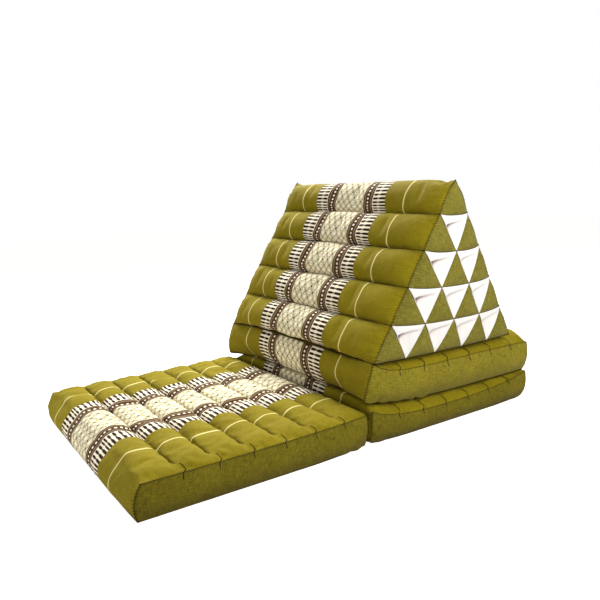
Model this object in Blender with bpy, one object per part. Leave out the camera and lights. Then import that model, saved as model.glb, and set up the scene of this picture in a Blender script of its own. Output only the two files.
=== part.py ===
"""Thai triangle cushion: a row-quilted triangular bolster on a mat folded in three.

The bolster stands on two mat sections that are folded on each other, and the third
section lies on the floor in front. X runs along the bolster's ridge, -Y is the side of
the open mat section, and the origin is on the floor under the middle of the whole.
"""

import math

import bpy
from mathutils import Vector

MM = 0.001

# Driving sizes, all in metres.
WIDTH = 530 * MM
MAT_ROWS = 7
ROW_STEPS = 4

BOLSTER_ROWS = 5
CELL_STEPS = 5
BOLSTER_BASE = 148 * MM
BOLSTER_FRONT = 6 * MM
BOLSTER_DEPTH = 364 * MM
BOLSTER_HEIGHT = 318 * MM
RIDGE_SETBACK = 196 * MM
ROW_CROWN = 22 * MM
RIDGE_EAR = 9 * MM
END_ROUNDING = 48 * MM
END_CROWN = 14 * MM
CELL_PUFF = 6 * MM
POCKET_DEPTH = 13 * MM
POCKET_FOLD = 0.25

PANEL_GAP = 1.6 * MM
PANEL_THICKNESS = 1.5 * MM
PANEL_RIM = 0.04

SIDE_STEPS = 4
GROOVE_FADE = 32 * MM
SEAM_MARGIN = 14 * MM

# One row for each mat section.
#   front, back    where its top seams lie along Y
#   low            height of its flat underside
#   high           height that its rows rise to
#   seam_front, seam_middle, seam_back   height of the side seam along the section
#   groove         share of the rows' rise that the channels between them take away
#   front_bulge, front_tuck, back_bulge, back_tuck, end_bulge, end_tuck
#                  how far each side swells at half height and draws in at the bottom
MAT_COLUMNS = (
    "name", "front", "back", "low", "high",
    "seam_front", "seam_middle", "seam_back", "groove",
    "front_bulge", "front_tuck", "back_bulge", "back_tuck", "end_bulge", "end_tuck",
)
MAT_TABLE = (
    ("mat_upper", 4, 426, 62.5, 147.5, 142, 126, 122, 0.3, 20, 24, 15, 8, 7, 10),
    ("mat_lower", 0, 424, 0, 62, 56, 42, 54, 0.35, 3, 2, 10, 6, 6, 9),
    ("mat_front", -434, -12, 0, 71, 55, 54, 57, 0.8, 13, 5, 2, 6, 6, 6),
)

# Stations across the width: bolster and mats are lofted through these, mirrored.
STATIONS = (0, 90, 180, 222, 243, 256, 265)

OLIVE_FACE = ("olive_cotton_face", (0.30, 0.23, 0.025, 1.0), 0.85)
OLIVE_SIDE = ("olive_chambray_side", (0.21, 0.18, 0.02, 1.0), 0.9)
WHITE_COTTON = ("white_cotton", (0.90, 0.89, 0.87, 1.0), 0.9)


def make_material(finish):
    """A plain cloth material from its name, linear colour and roughness."""
    name, colour, roughness = finish
    material = bpy.data.materials.get(name)
    if material is None:
        material = bpy.data.materials.new(name)
        material.use_nodes = True
        shader = material.node_tree.nodes["Principled BSDF"]
        shader.inputs["Base Color"].default_value = colour
        shader.inputs["Roughness"].default_value = roughness
        shader.inputs["Metallic"].default_value = 0.0
    return material


def add_solid(name, points, faces, finish):
    """One smooth-shaded closed mesh object."""
    mesh = bpy.data.meshes.new(name)
    mesh.from_pydata([tuple(point) for point in points], [], faces)
    mesh.update()
    mesh.shade_smooth()
    mesh.materials.append(make_material(finish))
    solid = bpy.data.objects.new(name, mesh)
    bpy.context.scene.collection.objects.link(solid)
    return solid


def stations_across():
    """Distances from the middle, from one end seam to the other."""
    right = [station * MM for station in STATIONS]
    left = [-station for station in reversed(right[1:])]
    return left + right


def end_round(x):
    """1 along the middle and 0 at an end seam, falling on a quarter ellipse."""
    into = max(0.0, abs(x) - (WIDTH / 2 - END_ROUNDING)) / END_ROUNDING
    return math.sqrt(max(0.0, 1.0 - into * into))


def arch(t, power=1.0):
    """0 at both ends of a row and 1 at its middle."""
    return (4.0 * t * (1.0 - t)) ** power


def loft_rings(rings):
    """Quads between neighbouring rings of equal length, with faces pointing out."""
    count = len(rings[0])
    faces = []
    for near, far in zip(rings, rings[1:]):
        for k in range(count):
            after = (k + 1) % count
            faces.append((near[k], near[after], far[after], far[k]))
    return faces


# Bolster: a prism with five sewn rows on each slope and puffed triangles on its ends.

def bolster_corners():
    apex = Vector((0, BOLSTER_FRONT + RIDGE_SETBACK, BOLSTER_BASE + BOLSTER_HEIGHT))
    front = Vector((0, BOLSTER_FRONT, BOLSTER_BASE))
    back = Vector((0, BOLSTER_FRONT + BOLSTER_DEPTH, BOLSTER_BASE))
    return apex, front, back


def bolster_lattice(i, j):
    """Point i steps down from the ridge and j steps back, in the plane X = 0."""
    apex, front, back = bolster_corners()
    steps = BOLSTER_ROWS * CELL_STEPS
    return apex + (front - apex) * (i / steps) + (back - front) * (j / steps)


def slope_normal(i, j):
    """Outward direction of the slope that a rim point lies on."""
    apex, front, back = bolster_corners()
    if j == 0:
        run = front - apex
        return Vector((0, -abs(run.z), abs(run.y))).normalized()
    run = back - apex
    return Vector((0, abs(run.z), abs(run.y))).normalized()


def ridge_ear(i, x):
    """Lift of the ridge towards its two pulled-up tips."""
    near_tip = max(0.0, abs(x) / (WIDTH / 2) - 0.55) / 0.45
    return RIDGE_EAR * near_tip ** 2 * max(0.0, 1.0 - i / CELL_STEPS)


def bolster_rim(i, j, x):
    """A point of the bolster's cross-section at distance x from the middle."""
    steps = BOLSTER_ROWS * CELL_STEPS
    point = bolster_lattice(i, j)
    if i < steps and j in (0, i):
        swell = ROW_CROWN * arch((i % CELL_STEPS) / CELL_STEPS, 0.6) * end_round(x)
        point += slope_normal(i, j) * swell
    point.x = x
    point.z += ridge_ear(i, x)
    return point


def rim_indices():
    """Lattice indices around the cross-section: down the front, along the base, up."""
    steps = BOLSTER_ROWS * CELL_STEPS
    down = [(i, 0) for i in range(steps + 1)]
    base = [(steps, j) for j in range(1, steps + 1)]
    up = [(i, i) for i in range(steps - 1, 0, -1)]
    return down + base + up


def cell_of(i, j):
    """Row, place and inner position of a lattice point in the cells of an end."""
    down, back = i / CELL_STEPS, j / CELL_STEPS
    row = min(BOLSTER_ROWS - 1, int(down + 1e-9))
    place = min(row, int(back + 1e-9))
    return row, place, down - row, back - place


def pocket_depth(fall, along):
    """Depth of a white pocket: deepest at a fold a quarter of the way down."""
    if fall <= 0.0 or fall >= 1.0 or along <= fall or along >= 1.0:
        return 0.0
    profile = fall / POCKET_FOLD if fall < POCKET_FOLD else (1.0 - fall) / (1.0 - POCKET_FOLD)
    across = (along - fall) / (1.0 - fall)
    return POCKET_DEPTH * profile ** 0.8 * arch(across, 0.6)


def end_height(i, j):
    """How far an end stands out past its seam at a lattice point."""
    steps = BOLSTER_ROWS * CELL_STEPS
    top, near, far = 1.0 - i / steps, (i - j) / steps, j / steps
    crown = END_CROWN * max(0.0, 27.0 * top * near * far) ** 0.7
    row, place, fall, along = cell_of(i, j)
    if along > fall:
        return crown - pocket_depth(fall, along)
    puff = 27.0 * (1.0 - fall) * (fall - along) * along
    return crown + CELL_PUFF * math.sqrt(max(0.0, puff))


def end_point(i, j, side):
    """A point of the bolster's end, on the side +1 or -1."""
    steps = BOLSTER_ROWS * CELL_STEPS
    if i == steps or j in (0, i):
        return bolster_rim(i, j, side * WIDTH / 2)
    point = bolster_lattice(i, j)
    point.z += ridge_ear(i, WIDTH / 2)
    point.x = side * (WIDTH / 2 + end_height(i, j))
    return point


def make_bolster():
    steps = BOLSTER_ROWS * CELL_STEPS
    rim = rim_indices()
    points, rings = [], []
    for x in stations_across():
        rings.append(range(len(points), len(points) + len(rim)))
        points += [bolster_rim(i, j, x) for i, j in rim]
    faces = loft_rings(rings)
    for side, ring in ((-1, rings[0]), (1, rings[-1])):
        index = dict(zip(rim, ring))
        for i in range(steps + 1):
            for j in range(i + 1):
                if (i, j) not in index:
                    index[(i, j)] = len(points)
                    points.append(end_point(i, j, side))
        for i in range(steps):
            for j in range(i + 1):
                cap = [(i, j), (i + 1, j), (i + 1, j + 1)]
                add_cap_face(faces, [index[key] for key in cap], side)
                if j < i:
                    cap = [(i, j), (i + 1, j + 1), (i, j + 1)]
                    add_cap_face(faces, [index[key] for key in cap], side)
    return add_solid("bolster", points, faces, OLIVE_FACE)


def add_cap_face(faces, corners, side):
    faces.append(tuple(corners if side > 0 else reversed(corners)))


# White cotton panels: one thin dished triangle in each inverted cell of an end.

def panel_point(row, place, weights, side, lift):
    """A point over the pocket's floor, from weights of its top front, top back and foot."""
    front, back, foot = weights
    i = (row + foot) * CELL_STEPS
    j = (place + back + foot) * CELL_STEPS
    low_i, low_j = int(i + 1e-6), int(j + 1e-6)
    a, b = i - low_i, j - low_j
    if a < 1e-6 and b < 1e-6:
        point = end_point(low_i, low_j, side)
    elif b <= a:
        point = (end_point(low_i, low_j, side) * (1 - a)
                 + end_point(low_i + 1, low_j, side) * (a - b)
                 + end_point(low_i + 1, low_j + 1, side) * b)
    else:
        point = (end_point(low_i, low_j, side) * (1 - b)
                 + end_point(low_i, low_j + 1, side) * (b - a)
                 + end_point(low_i + 1, low_j + 1, side) * a)
    point.x += side * lift
    return point


def panel_weights(p, q):
    """Weights of a panel's lattice point, with its rim kept off the seam."""
    weights = [1.0 - q / CELL_STEPS, (q - p) / CELL_STEPS, p / CELL_STEPS]
    weights = [max(weight, PANEL_RIM) for weight in weights]
    total = sum(weights)
    return [weight / total for weight in weights]


def make_panel(row, place, side, name):
    points, index = [], {}
    for layer, lift in enumerate((PANEL_GAP, PANEL_GAP + PANEL_THICKNESS)):
        for p in range(CELL_STEPS + 1):
            for q in range(p, CELL_STEPS + 1):
                index[(layer, p, q)] = len(points)
                points.append(panel_point(row, place, panel_weights(p, q), side, lift))
    faces = []
    for layer, turn in ((0, -side), (1, side)):
        for p in range(CELL_STEPS):
            for q in range(p, CELL_STEPS):
                cap = [(p, q), (p + 1, q + 1), (p, q + 1)]
                add_cap_face(faces, [index[(layer, *key)] for key in cap], turn)
                if q > p:
                    cap = [(p, q), (p + 1, q), (p + 1, q + 1)]
                    add_cap_face(faces, [index[(layer, *key)] for key in cap], turn)
    last = CELL_STEPS
    rim = [(0, q) for q in range(last)]
    rim += [(p, last) for p in range(last)]
    rim += [(p, p) for p in range(last, 0, -1)]
    for here, after in zip(rim, rim[1:] + rim[:1]):
        wall = [(0, *here), (0, *after), (1, *after), (1, *here)]
        add_cap_face(faces, [index[key] for key in wall], -side)
    return add_solid(name, points, faces, WHITE_COTTON)


def make_panels():
    for side, word in ((-1, "left"), (1, "right")):
        for row in range(1, BOLSTER_ROWS):
            for place in range(row):
                make_panel(row, place, side, f"white_panel_{word}_{row + 1}_{place + 1}")


# Mat sections: filled pads with seven rows across the top and a side band all round.

def seam_height(mat, v):
    """Height of the side seam, v of the way from the front seam to the back one."""
    corner = mat["seam_front"] if v < 0.5 else mat["seam_back"]
    return mat["seam_middle"] + (corner - mat["seam_middle"]) * abs(2 * v - 1) ** 4


def top_height(mat, x, v):
    """Height of the rows of a mat's top."""
    groove_reach = (WIDTH / 2 - SEAM_MARGIN - abs(x)) / GROOVE_FADE
    valley = 1.0 - arch((v * MAT_ROWS) % 1.0, 0.6)
    groove = mat["groove"] * min(1.0, max(0.0, groove_reach)) * valley
    ends = min(1.0, arch(v) * 8.0) ** 0.5
    seam = seam_height(mat, v)
    return seam + (mat["high"] - seam) * ends * end_round(x) * (1.0 - groove)


def mat_line(mat, fall):
    """Front and back limits along Y, fall of the way down the sides."""
    return mat["front"] + mat["front_tuck"] * fall ** 4, mat["back"] - mat["back_tuck"] * fall ** 4


def mat_rim(mat, x):
    """Cross-section of a mat at distance x from the middle, keyed by its grid place."""
    count = MAT_ROWS * ROW_STEPS
    ring = {}
    for i in range(count + 1):
        v = i / count
        front, back = mat_line(mat, 0.0)
        ring[(i, 0)] = Vector((x, front + (back - front) * v, top_height(mat, x, v)))
    for f in range(1, SIDE_STEPS):
        fall = f / SIDE_STEPS
        swell = math.sin(math.pi * fall) * end_round(x)
        front, back = mat_line(mat, fall)
        for i, y, v in ((0, front - mat["front_bulge"] * swell, 0.0),
                        (count, back + mat["back_bulge"] * swell, 1.0)):
            top = seam_height(mat, v)
            ring[(i, f)] = Vector((x, y, top + (mat["low"] - top) * fall))
    for i in range(count + 1):
        front, back = mat_line(mat, 1.0)
        ring[(i, SIDE_STEPS)] = Vector((x, front + (back - front) * i / count, mat["low"]))
    for (i, f), point in ring.items():
        point.x *= 1.0 - mat["end_tuck"] / (WIDTH / 2) * (f / SIDE_STEPS) ** 4
    return ring


def mat_loop():
    """Grid places around a mat's cross-section: top backwards, down, forwards, up."""
    count = MAT_ROWS * ROW_STEPS
    top = [(i, 0) for i in range(count + 1)]
    back = [(count, f) for f in range(1, SIDE_STEPS)]
    under = [(i, SIDE_STEPS) for i in range(count, -1, -1)]
    front = [(0, f) for f in range(SIDE_STEPS - 1, 0, -1)]
    return list(reversed(top + back + under + front))


def mat_end_point(mat, i, f, side):
    """A point of a mat's end band, on the side +1 or -1."""
    v, fall = i / (MAT_ROWS * ROW_STEPS), f / SIDE_STEPS
    front, back = mat_line(mat, fall)
    seam = seam_height(mat, v)
    swell = mat["end_bulge"] * math.sin(math.pi * fall) * min(1.0, arch(v) * 5.0) ** 0.5
    x = WIDTH / 2 + swell - mat["end_tuck"] * fall ** 4
    return Vector((side * x, front + (back - front) * v, seam + (mat["low"] - seam) * fall))


def make_mat(values):
    mat = dict(zip(MAT_COLUMNS, values))
    for key in MAT_COLUMNS:
        if key not in ("name", "groove"):
            mat[key] *= MM
    count = MAT_ROWS * ROW_STEPS
    loop = mat_loop()
    points, rings = [], []
    for x in stations_across():
        rings.append(range(len(points), len(points) + len(loop)))
        ring = mat_rim(mat, x)
        points += [ring[key] for key in loop]
    faces = loft_rings(rings)
    for side, ring in ((-1, rings[0]), (1, rings[-1])):
        index = dict(zip(loop, ring))
        for i in range(1, count):
            for f in range(1, SIDE_STEPS):
                index[(i, f)] = len(points)
                points.append(mat_end_point(mat, i, f, side))
        for i in range(count):
            for f in range(SIDE_STEPS):
                cap = [(i, f), (i, f + 1), (i + 1, f + 1), (i + 1, f)]
                add_cap_face(faces, [index[key] for key in cap], side)
    return add_solid(mat["name"], points, faces, OLIVE_SIDE)


def stand_on_origin():
    """Move everything so that the origin is on the floor under the middle."""
    corners = [vertex.co for solid in bpy.data.objects for vertex in solid.data.vertices]
    low = Vector([min(corner[axis] for corner in corners) for axis in range(3)])
    high = Vector([max(corner[axis] for corner in corners) for axis in range(3)])
    middle = (low + high) / 2
    for solid in bpy.data.objects:
        for vertex in solid.data.vertices:
            vertex.co -= Vector((middle.x, middle.y, low.z))


for leftover in list(bpy.data.objects):
    bpy.data.objects.remove(leftover, do_unlink=True)
make_bolster()
make_panels()
for row_values in MAT_TABLE:
    make_mat(row_values)
stand_on_origin()
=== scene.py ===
"""Thai triangle cushion: a row-quilted bolster on a mat that folds in three.

The bolster stands on two folded mat sections and the third lies open in front of it.
X runs along the ridge, -Y is the open side, and the floor is at Z = 0. Sizes are metres.
"""

import math

import bpy
from mathutils import Matrix, Vector, noise
from mathutils.bvhtree import BVHTree


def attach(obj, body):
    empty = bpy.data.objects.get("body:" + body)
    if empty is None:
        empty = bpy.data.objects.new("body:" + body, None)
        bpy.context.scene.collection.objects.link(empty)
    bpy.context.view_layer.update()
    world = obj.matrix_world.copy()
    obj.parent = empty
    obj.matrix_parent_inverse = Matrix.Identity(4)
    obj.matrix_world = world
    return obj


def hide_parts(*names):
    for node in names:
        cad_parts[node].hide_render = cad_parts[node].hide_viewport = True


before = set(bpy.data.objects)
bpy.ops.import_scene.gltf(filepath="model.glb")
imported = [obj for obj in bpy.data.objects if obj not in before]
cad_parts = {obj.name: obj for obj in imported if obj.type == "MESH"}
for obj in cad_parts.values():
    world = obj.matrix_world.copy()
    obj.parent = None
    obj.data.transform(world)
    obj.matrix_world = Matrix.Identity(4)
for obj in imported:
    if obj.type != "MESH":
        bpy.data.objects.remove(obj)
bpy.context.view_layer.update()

MM = 0.001

# Camera: a person's view from the front right, a little above the ridge.
# It stands 1.4 m off, is turned slightly on its axis, and nothing is shifted.
CAMERA_PLACE = Vector((1.0996, -0.6891, 0.4647))
CAMERA_HEADING = math.radians(56.75)
CAMERA_PITCH = math.radians(10.055)
CAMERA_ROLL = math.radians(-2.1985)
FOCAL_PIXELS = 635.34
FRAME_PIXELS = 600
SENSOR_WIDTH = 36

bpy.ops.object.select_all(action="DESELECT")
bpy.ops.object.camera_add(location=CAMERA_PLACE)
camera = bpy.context.object
ahead = Vector((
    -math.sin(CAMERA_HEADING) * math.cos(CAMERA_PITCH),
    math.cos(CAMERA_HEADING) * math.cos(CAMERA_PITCH),
    -math.sin(CAMERA_PITCH),
))
level_right = Vector((math.cos(CAMERA_HEADING), math.sin(CAMERA_HEADING), 0))
level_up = level_right.cross(ahead)
turned_right = level_right * math.cos(CAMERA_ROLL) + level_up * math.sin(CAMERA_ROLL)
turned_up = level_up * math.cos(CAMERA_ROLL) - level_right * math.sin(CAMERA_ROLL)
camera.rotation_euler = Matrix((turned_right, turned_up, -ahead)).transposed().to_euler()
camera.data.sensor_width = SENSOR_WIDTH
camera.data.lens = FOCAL_PIXELS / FRAME_PIXELS * SENSOR_WIDTH
bpy.context.scene.camera = camera

# Studio: white paper under a white sky. A wide soft light stands high on the far left and a
# little behind, so what lies flat is bright and the front slope darker, and two weak ones
# lift the shade. Paper and sky are seen as pure white, but throw back only some of it.
FLOOR_SIZE = 12
FLOOR_DROP = 0.4 * MM
SKY_LIGHT = 0.19
PAPER_GLOW = 0.92
PAPER = "#C4C0BE"
PAPER_SEEN = "#FFFCFA"
LIGHTS = (
    # name, place, aimed at, width, watts
    ("overhead_softbox", (-1.20, 0.64, 1.55), (0, 0, 0.2), 1.1, 92),
    ("side_softbox", (1.05, 0.15, 0.7), (0.25, 0.15, 0.3), 0.7, 10),
    ("low_front_fill", (-0.30, -1.25, 0.30), (-0.05, -0.3, 0.1), 0.6, 5.5),
)


def linear(code):
    """An sRGB hex colour as linear RGBA."""
    channels = [int(code[k:k + 2], 16) / 255 for k in (1, 3, 5)]
    return (*[c / 12.92 if c <= 0.04045 else ((c + 0.055) / 1.055) ** 2.4 for c in channels], 1.0)


def node(tree, kind, feeds=(), out=0, **settings):
    """Adds a shader node, feeds its inputs by order or by name, and gives an output."""
    made = tree.nodes.new("ShaderNode" + kind)
    for name, value in settings.items():
        setattr(made, name, value)
    pairs = feeds.items() if isinstance(feeds, dict) else enumerate(feeds)
    for key, value in pairs:
        if isinstance(value, bpy.types.NodeSocket):
            tree.links.new(value, made.inputs[key])
        elif value is not None:
            made.inputs[key].default_value = value
    return made.outputs[out] if len(made.outputs) else made


def new_finish(name):
    """An empty material and its node tree."""
    finish = bpy.data.materials.new(name)
    finish.use_nodes = True
    finish.node_tree.nodes.clear()
    return finish, finish.node_tree


bpy.ops.mesh.primitive_plane_add(size=FLOOR_SIZE, location=(0, 0, -FLOOR_DROP))
floor = bpy.context.object
floor.name = "studio_floor"
floor_paint, tree = new_finish("matt_white_paper")
lit = node(tree, "BsdfDiffuse", {"Color": linear(PAPER)})
seen = node(tree, "LightPath")
glow = node(tree, "Math", (seen, PAPER_GLOW), operation="MULTIPLY")
glow = node(tree, "Emission", {"Color": linear(PAPER_SEEN), "Strength": glow})
node(tree, "OutputMaterial", (node(tree, "AddShader", (lit, glow)),))
floor.data.materials.append(floor_paint)

for name, place, target, width, watts in LIGHTS:
    bpy.ops.object.light_add(type="AREA", location=place)
    lamp = bpy.context.object
    lamp.name = name
    lamp.data.size = width
    lamp.data.energy = watts
    lamp.rotation_euler = (Vector(target) - Vector(place)).to_track_quat("-Z", "Y").to_euler()

sky = bpy.data.worlds.new("white_studio")
sky.use_nodes = True
sky.node_tree.nodes.clear()
seen = node(sky.node_tree, "LightPath")
strength = node(sky.node_tree, "MapRange", {"Value": seen, "To Min": SKY_LIGHT, "To Max": 1.0})
shader = node(sky.node_tree, "Background", {"Color": (1, 1, 1, 1), "Strength": strength})
node(sky.node_tree, "OutputWorld", (shader,))
bpy.context.scene.world = sky
bpy.context.scene.view_settings.view_transform = "Standard"

# Cloth of the faces: olive cotton with a woven strip along its middle. The strip is a
# cream lattice between dotted brown borders and ladder bands, and a thin cream line
# runs outside it on each side. The UV map holds metres: across the cloth, then along.
MIX_COLOUR = 2
FACE_GREENS = ("#948516", "#77690A")
FACE_HEATHER = 0.42
BAND_HEATHER = 0.36
# The real threads are about 0.5 mm apart and too fine to show, so the weave is drawn at
# these pitches. Streaks of uneven yarn are 1.4 mm wide and 11 mm long: so many a metre.
FACE_WEAVE = 1.7 * MM
BAND_WEAVE = 1.5 * MM
STREAKS_ACROSS = 700
STREAKS_ALONG = 90
PATCHES = 14.0
FUZZ = 900.0
# Fine gathers run in from the side seams, on the front slope and on the back one.
GATHERS_START = 222 * MM
GATHERS_FULL = 262 * MM
GATHERS_ACROSS = 16
GATHERS_ALONG = 150
GATHER_RELIEF = 3.5 * MM
FRONT_SLOPE_START = 4 * MM
BACK_SLOPE_START = 900 * MM
# The strip's own sizes are in millimetres, from the middle of the cloth outwards.
LATTICE_EDGE = 47.0
LATTICE_WIDE = 19.2
LATTICE_TALL = 21.0
DASH_PITCH = 7.6
STRIPES = (
    # start across the cloth, colour
    (0, "#E2D8B4"), (47.5, "#3E2813"), (49.5, "#7F6848"), (54, "#3E2610"), (57, "#4C3018"),
    (66.5, "#3E2610"), (69, "#7F6848"), (73.5, "#3A230E"), (77, "#F8EDD2"), (116.5, "#000000"),
)
BEADS = (
    # middle and half width across, half length along, squareness, colour
    (61.8, 2.9, 2.1, 2.0, "#FFF4D8"),
    (86.5, 7.8, 2.1, 3.2, "#2E1C0D"),
    (97.5, 5.0, 1.3, 2.0, "#5A4528"),
    (110.0, 10.5, 2.2, 5.0, "#2E1C0D"),
)
STRIPE_REACH = 200
PATTERN_END = 117
CREAM_LINE = 172
CREAM_LINE_HALF = 1.7
CREAM_LINE_SOFT = 0.4


def weave_height(tree, place, pitch):
    """A plain weave's height from two crossed waves, drawn at the given pitch in metres."""
    parts = node(tree, "SeparateXYZ", (place,)).node.outputs
    turns = 2 * math.pi / pitch
    waves = []
    for part in (parts[0], parts[1]):
        turned = node(tree, "Math", (part, turns), operation="MULTIPLY")
        waves.append(node(tree, "Math", (turned,), operation="SINE"))
    return node(tree, "Math", waves, operation="MULTIPLY")


def olive_cloth(tree, place, light, dark, heather):
    """Olive cotton: long streaks of lighter and darker yarn both ways, which look heathered."""
    yarns = []
    for scale in ((STREAKS_ACROSS, STREAKS_ALONG, 1), (STREAKS_ALONG, STREAKS_ACROSS, 1)):
        drawn = node(tree, "Mapping", {"Vector": place, "Scale": scale})
        yarns.append(node(tree, "TexNoise", {"Vector": drawn, "Scale": 1.0, "Detail": 2.0}))
    yarn = node(tree, "Math", yarns, operation="ADD")
    yarn = node(tree, "MapRange", {"Value": yarn, "From Min": 1 - heather, "From Max": 1 + heather})
    patch = node(tree, "TexNoise", {"Vector": place, "Scale": PATCHES, "Detail": 3.0})
    patch = node(tree, "MapRange", {"Value": patch, "From Min": 0.3, "From Max": 0.7,
                                    "To Min": -0.15, "To Max": 0.15})
    mixed = node(tree, "Math", (yarn, patch), operation="ADD", use_clamp=True)
    return node(tree, "Mix", {0: mixed, 6: linear(dark), 7: linear(light)}, out=MIX_COLOUR,
                data_type="RGBA")


def patterned_cotton(name, with_strip, gathered_from):
    """The face cloth, with the woven strip or plain, gathered from some length along it.
    It is matt, with a fine grain of threads and a faint fuzz."""
    finish, tree = new_finish(name)
    place = node(tree, "UVMap")
    colour = olive_cloth(tree, place, *FACE_GREENS, FACE_HEATHER)
    if with_strip:
        colour = woven_strip(tree, place, colour)
    height = weave_height(tree, place, FACE_WEAVE)
    fuzz = node(tree, "TexNoise", {"Vector": place, "Scale": FUZZ, "Detail": 2.0})
    height = node(tree, "Math", (height, fuzz), operation="ADD")
    bump = node(tree, "Bump", {"Strength": 0.25, "Distance": 0.4 * MM, "Height": height})
    pulled = node(tree, "Mapping", {"Vector": place, "Scale": (GATHERS_ACROSS, GATHERS_ALONG, 1)})
    folds = node(tree, "TexNoise", {"Vector": pulled, "Scale": 1.0, "Detail": 1.0})
    parts = node(tree, "SeparateXYZ", (place,)).node.outputs
    aside = node(tree, "Math", (parts[0],), operation="ABSOLUTE")
    near_seam = node(tree, "MapRange", {"Value": aside, "From Min": GATHERS_START,
                                        "From Max": GATHERS_FULL})
    on_rows = node(tree, "Math", (parts[1], gathered_from), operation="GREATER_THAN")
    near_seam = node(tree, "Math", (near_seam, on_rows), operation="MULTIPLY")
    folds = node(tree, "Math", (folds, near_seam), operation="MULTIPLY")
    bump = node(tree, "Bump", {"Strength": 0.9, "Distance": GATHER_RELIEF, "Height": folds,
                               "Normal": bump})
    shader = node(tree, "BsdfPrincipled", {
        "Base Color": colour, "Roughness": 0.9, "Specular IOR Level": 0.08, "Normal": bump,
        "Sheen Weight": 0.03, "Sheen Roughness": 0.5,
    })
    node(tree, "OutputMaterial", (shader,))
    return finish


def woven_strip(tree, place, ground):
    """The strip's colour over the ground cloth. It reads millimetres from the middle."""
    parts = node(tree, "SeparateXYZ", (place,)).node.outputs
    sideways = node(tree, "Math", (parts[0], 1 / MM), operation="MULTIPLY")
    onward = node(tree, "Math", (parts[1], 1 / MM), operation="MULTIPLY")
    apart = node(tree, "Math", (sideways,), operation="ABSOLUTE")

    reached = node(tree, "Math", (apart, STRIPE_REACH), operation="DIVIDE")
    ramp = node(tree, "ValToRGB", (reached,)).node
    ramp.color_ramp.interpolation = "CONSTANT"
    while len(ramp.color_ramp.elements) < len(STRIPES):
        ramp.color_ramp.elements.new(1.0)
    for stop, (start, code) in zip(ramp.color_ramp.elements, STRIPES):
        stop.position = start / STRIPE_REACH
        stop.color = linear(code)
    woven = ramp.outputs[0]

    # Lattice: two sets of slanting lines, with dark knots where they cross. Rows of ovals
    # and rows of small dots take turns in its cells.
    wide = node(tree, "Math", (sideways, LATTICE_WIDE), operation="DIVIDE")
    tall = node(tree, "Math", (onward, LATTICE_TALL), operation="DIVIDE")
    slants = []
    cells = []
    for operation in ("ADD", "SUBTRACT"):
        turn = node(tree, "Math", (wide, tall), operation=operation)
        cells.append(node(tree, "Math", (turn,), operation="FLOOR"))
        turn = node(tree, "Math", (turn,), operation="FRACT")
        turn = node(tree, "Math", (turn, 0.5), operation="SUBTRACT")
        slants.append(node(tree, "Math", (turn,), operation="ABSOLUTE"))
    near_line = node(tree, "Math", slants, operation="MAXIMUM")
    near_knot = node(tree, "Math", slants, operation="MINIMUM")
    squares = [node(tree, "Math", (slant, 2.0), operation="POWER") for slant in slants]
    from_middle = node(tree, "Math", (node(tree, "Math", squares, operation="ADD"), 0.5),
                       operation="POWER")
    inside = node(tree, "Math", (apart, LATTICE_EDGE), operation="LESS_THAN")
    dotted = node(tree, "Math", cells, operation="ADD")
    dotted = node(tree, "Math", (node(tree, "Math", (dotted,), operation="ABSOLUTE"), 2.0),
                  operation="MODULO")
    with_oval = node(tree, "Math", (1.0, dotted), operation="SUBTRACT")
    with_oval = node(tree, "Math", (with_oval, inside), operation="MULTIPLY")
    dotted = node(tree, "Math", (dotted, inside), operation="MULTIPLY")
    marks = (
        # what draws it, where it begins and is full in shares of a cell, cells, colour
        (near_line, 0.41, 0.47, inside, "#B5A87E"),
        (from_middle, 0.44, 0.38, with_oval, "#A89B70"),
        (from_middle, 0.35, 0.28, with_oval, "#FCF3D8"),
        (from_middle, 0.13, 0.07, with_oval, "#9D9068"),
        (from_middle, 0.25, 0.17, dotted, "#FFF9E4"),
        (near_knot, 0.35, 0.40, inside, "#4A3E22"),
    )
    for drawn, begins, full, where, code in marks:
        mask = node(tree, "MapRange", {"Value": drawn, "From Min": begins, "From Max": full})
        mask = node(tree, "Math", (mask, where), operation="MULTIPLY")
        woven = node(tree, "Mix", {0: mask, 6: woven, 7: linear(code)}, out=MIX_COLOUR,
                     data_type="RGBA")

    # Dots in the brown border and dashes in the ladder band, all at one pitch.
    phase = node(tree, "Math", (node(tree, "Math", (onward, DASH_PITCH), operation="DIVIDE"),),
                 operation="FRACT")
    phase = node(tree, "Math", (phase, 0.5), operation="SUBTRACT")
    along = node(tree, "Math", (phase, DASH_PITCH), operation="MULTIPLY")
    for middle, half_across, half_along, power, code in BEADS:
        beside = node(tree, "Math", (apart, middle), operation="SUBTRACT")
        shares = []
        for distance, half in ((beside, half_across), (along, half_along)):
            share = node(tree, "Math", (distance,), operation="ABSOLUTE")
            share = node(tree, "Math", (share, half), operation="DIVIDE")
            shares.append(node(tree, "Math", (share, power), operation="POWER"))
        spread = node(tree, "Math", shares, operation="ADD")
        mask = node(tree, "MapRange", {"Value": spread, "From Min": 1.15, "From Max": 0.8})
        woven = node(tree, "Mix", {0: mask, 6: woven, 7: linear(code)}, out=MIX_COLOUR,
                     data_type="RGBA")

    beyond = node(tree, "Math", (apart, PATTERN_END), operation="GREATER_THAN")
    cloth = node(tree, "Mix", {0: beyond, 6: woven, 7: ground}, out=MIX_COLOUR, data_type="RGBA")
    aside = node(tree, "Math", (apart, CREAM_LINE), operation="SUBTRACT")
    aside = node(tree, "Math", (aside,), operation="ABSOLUTE")
    thread = node(tree, "MapRange", {"Value": aside, "From Min": CREAM_LINE_HALF + CREAM_LINE_SOFT,
                                     "From Max": CREAM_LINE_HALF - CREAM_LINE_SOFT})
    return node(tree, "Mix", {0: thread, 6: cloth, 7: linear("#E2D690")}, out=MIX_COLOUR,
                data_type="RGBA")


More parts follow.
